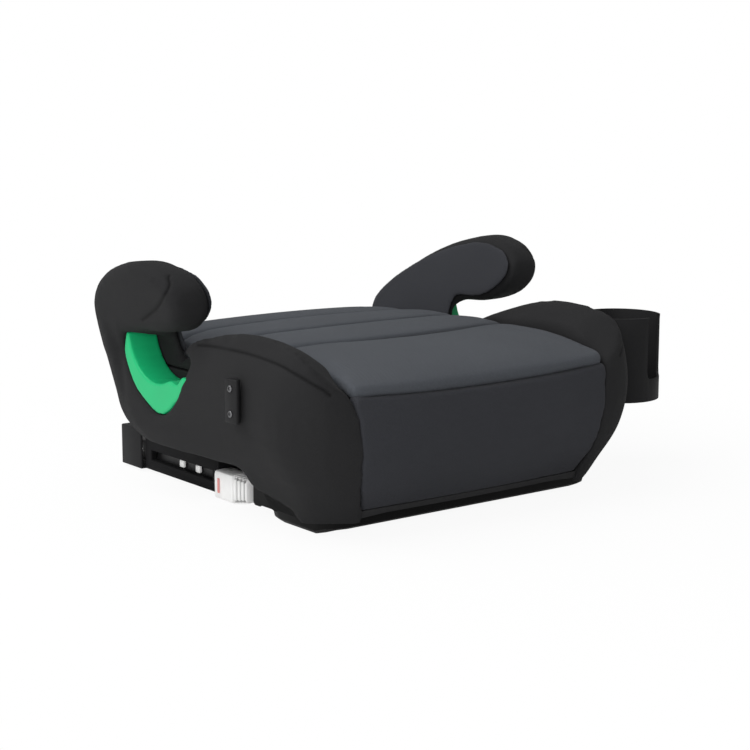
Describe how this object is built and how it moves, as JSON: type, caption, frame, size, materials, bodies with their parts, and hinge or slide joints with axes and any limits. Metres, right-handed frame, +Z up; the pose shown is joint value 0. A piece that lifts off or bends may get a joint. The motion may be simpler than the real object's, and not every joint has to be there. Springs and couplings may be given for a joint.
{
  "type": "booster seat",
  "caption": "Backless child booster car seat with padded arms, green belt guides, sliding lower-anchor arms with release handles and a lift-off cup holder.",
  "frame": {"origin": "on the surface that the seat stands on, under the middle of the base tray", "axes": "+Z up, the front faces -Y, the seated child's left is +X"},
  "size_m": [0.5709, 0.4361, 0.247],
  "materials": {
    "grey_fabric": "woven, matt",
    "panel_fabric": "woven, matt",
    "black_fabric": "knitted, matt",
    "core_foam": "moulded foam, matt",
    "gloss_black": "moulded, glossy",
    "black_plastic": "moulded, fine grain",
    "green_plastic": "moulded, satin",
    "white_plastic": "moulded, satin",
    "red_plastic": "moulded, satin",
    "black_steel": "dip-coated, satin",
    "steel": "plated"
  },
  "bodies": {
    "seat": {"base_tray": "gloss_black", "base_shell": "core_foam", "seat_pad": "grey_fabric", "front_panel": "panel_fabric", "rear_panel": "black_fabric", "side_bolster_left": "black_fabric", "side_bolster_right": "black_fabric", "armrest_left": "black_fabric", "armrest_right": "black_fabric", "armrest_pad_left": "grey_fabric", "armrest_pad_right": "grey_fabric", "belt_guide_left": "green_plastic", "belt_guide_right": "green_plastic", "cup_bracket_left": "black_plastic", "cup_bracket_right": "black_plastic", "bracket_screw_left_upper": "steel", "bracket_screw_right_upper": "steel", "bracket_screw_left_lower": "steel", "bracket_screw_right_lower": "steel", "isofix_rail_left": "black_plastic", "isofix_rail_right": "black_plastic", "isofix_end_housing_left": "black_plastic", "isofix_end_housing_right": "black_plastic", "guide_bolt_left": "steel", "guide_bolt_right": "steel", "handle_spring_left": "steel", "handle_spring_right": "steel"},
    "isofix_arm_left": {"isofix_arm_left": "black_steel", "jaw_pin_left": "steel", "position_peg_left_rear": "white_plastic", "position_peg_left_front": "white_plastic"},
    "jaw_hook_left": {"jaw_hook_left": "steel"},
    "release_handle_left": {"release_handle_left": "white_plastic", "indicator_left": "red_plastic"},
    "isofix_arm_right": {"isofix_arm_right": "black_steel", "jaw_pin_right": "steel", "position_peg_right_rear": "white_plastic", "position_peg_right_front": "white_plastic"},
    "jaw_hook_right": {"jaw_hook_right": "steel"},
    "release_handle_right": {"release_handle_right": "white_plastic", "indicator_right": "red_plastic"},
    "cup_holder": {"cup_holder": "black_plastic"}
  },
  "joints": [
    {"name": "isofix_arm_left_slide", "type": "slide", "parent": "seat", "child": "isofix_arm_left", "axis": [0, 1, 0], "range_m": [0, 0.05]},
    {"name": "release_handle_left_slide", "type": "slide", "parent": "seat", "child": "release_handle_left", "axis": [0, -1, 0], "range_m": [0, 0.01], "stiffness_N_per_m": 300, "deforming": ["handle_spring_left"]},
    {"name": "jaw_hook_left_pivot", "type": "hinge", "parent": "isofix_arm_left", "child": "jaw_hook_left", "pos_m": [0.1394, 0.174, 0.028], "axis": [1, 0, 0], "range_deg": [0, 16]},
    {"name": "isofix_arm_right_slide", "type": "slide", "parent": "seat", "child": "isofix_arm_right", "axis": [0, 1, 0], "range_m": [0, 0.05]},
    {"name": "release_handle_right_slide", "type": "slide", "parent": "seat", "child": "release_handle_right", "axis": [0, -1, 0], "range_m": [0, 0.01], "stiffness_N_per_m": 300, "deforming": ["handle_spring_right"]},
    {"name": "jaw_hook_right_pivot", "type": "hinge", "parent": "isofix_arm_right", "child": "jaw_hook_right", "pos_m": [-0.1394, 0.174, 0.028], "axis": [1, 0, 0], "range_deg": [0, 16]},
    {"name": "cup_holder_lift", "type": "slide", "parent": "seat", "child": "cup_holder", "axis": [0, 0, 1], "range_m": [0, 0.045]}
  ],
  "couplings": [
    {"joint": "jaw_hook_left_pivot", "follows": "release_handle_left_slide", "rad_per_m": 27.9},
    {"joint": "jaw_hook_right_pivot", "follows": "release_handle_right_slide", "rad_per_m": 27.9}
  ]
}
